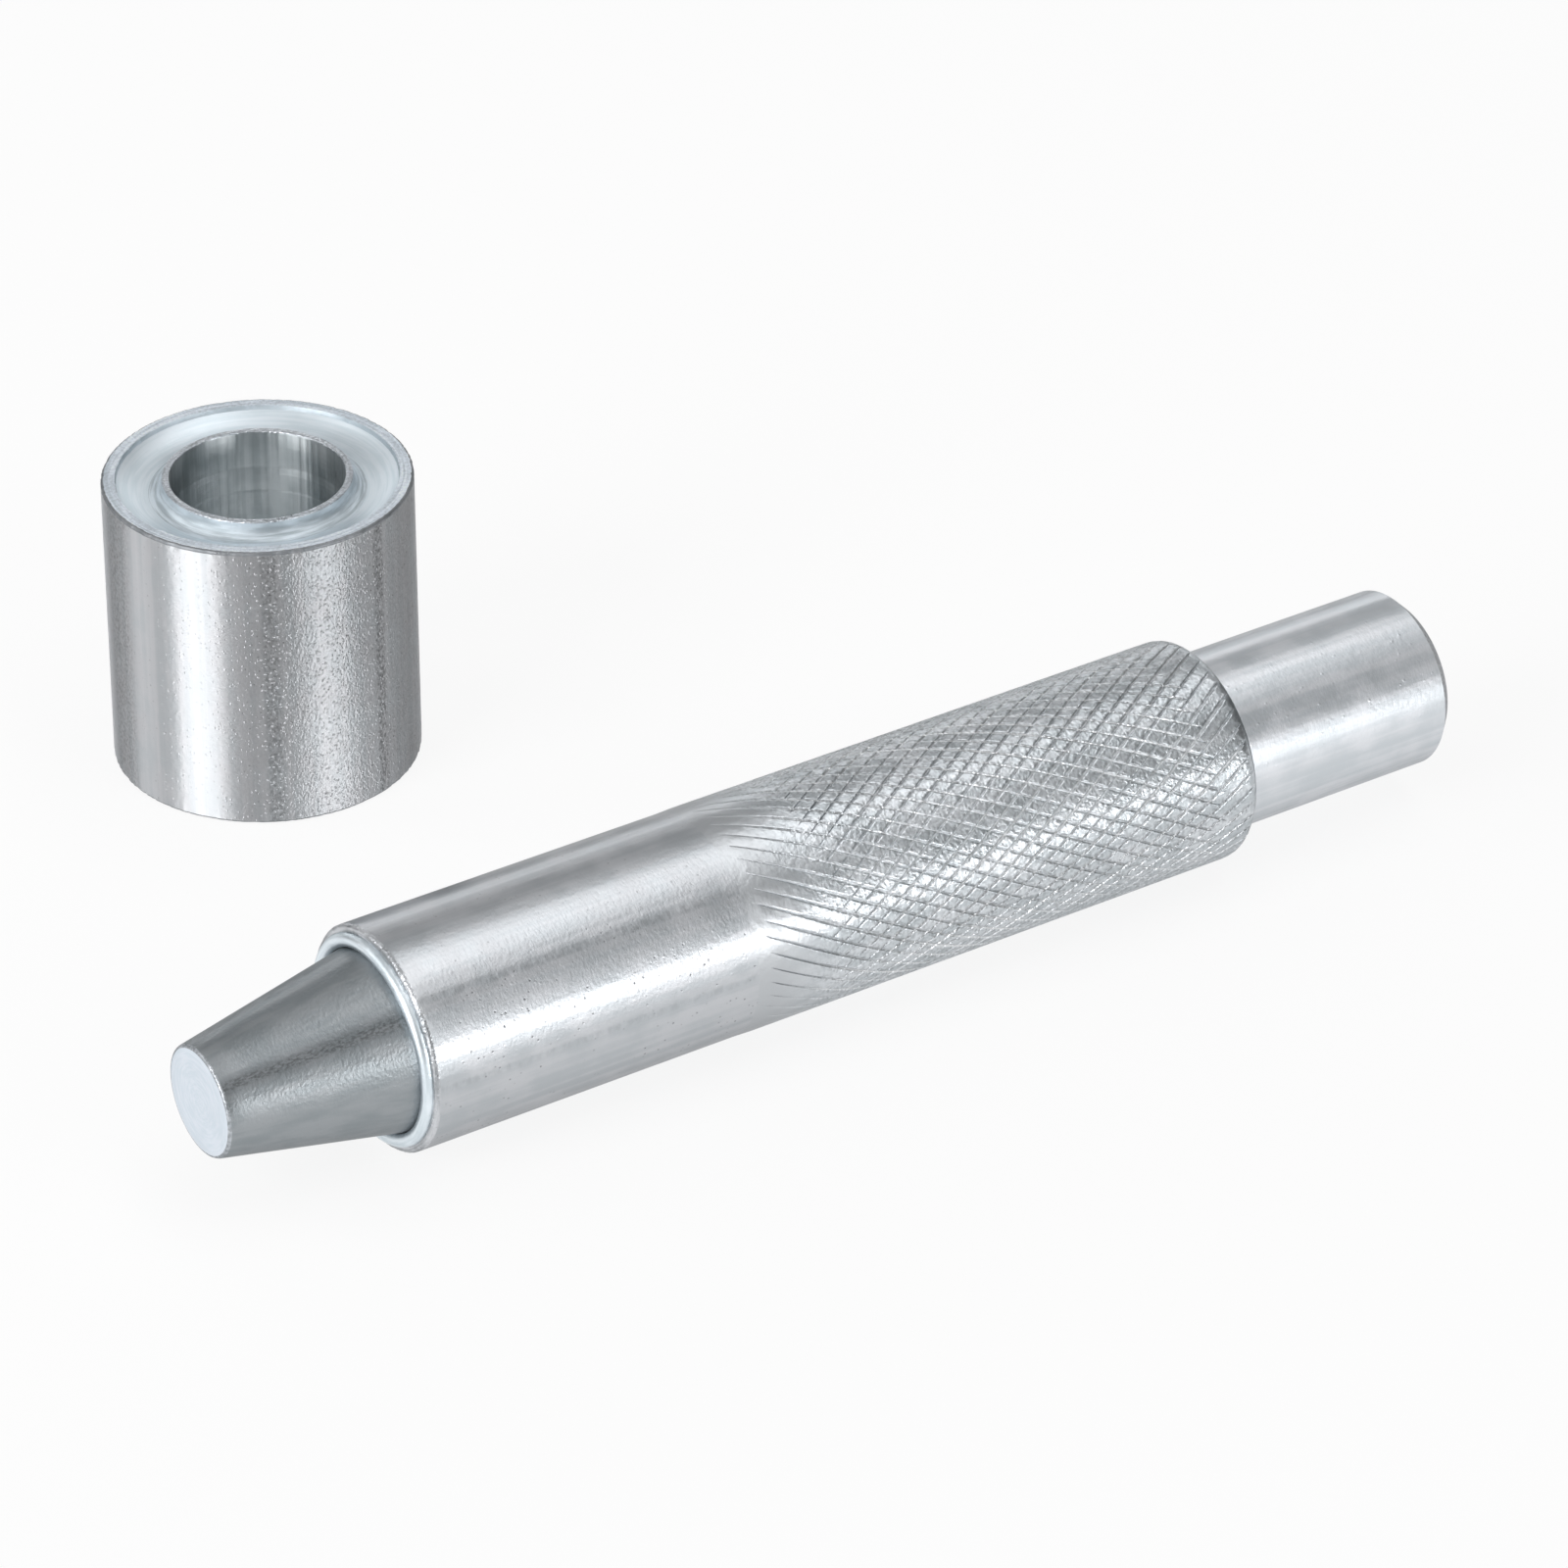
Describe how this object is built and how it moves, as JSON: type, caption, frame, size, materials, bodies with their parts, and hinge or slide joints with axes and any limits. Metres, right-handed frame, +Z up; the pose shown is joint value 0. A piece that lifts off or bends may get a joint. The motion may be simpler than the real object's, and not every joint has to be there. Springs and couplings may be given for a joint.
{
  "type": "eyelet setting punch and anvil",
  "caption": "Eyelet setting tool in plated steel: a knurled hand punch with a tapered pilot and curling groove, and a bored round anvil with a ring groove and lip.",
  "frame": {"origin": "middle of the anvil's base, on the bench, where the bore's axis meets it", "axes": "+Z up the anvil's bore; the setter lies on the bench parallel to X, pilot towards -X and striking face towards +X"},
  "size_m": [0.111, 0.0755, 0.025],
  "materials": {
    "anvil_zinc": "satin zinc plate with fine pits over turned steel",
    "setter_zinc": "bright zinc plate over turned and knurled steel"
  },
  "bodies": {
    "anvil": {"anvil": "anvil_zinc"},
    "setter": {"setter": "setter_zinc"}
  },
  "joints": [
    {"name": "setter_lift", "type": "slide", "parent": "anvil", "child": "setter", "axis": [0, 0, 1], "range_m": [0, 0.06]}
  ]
}
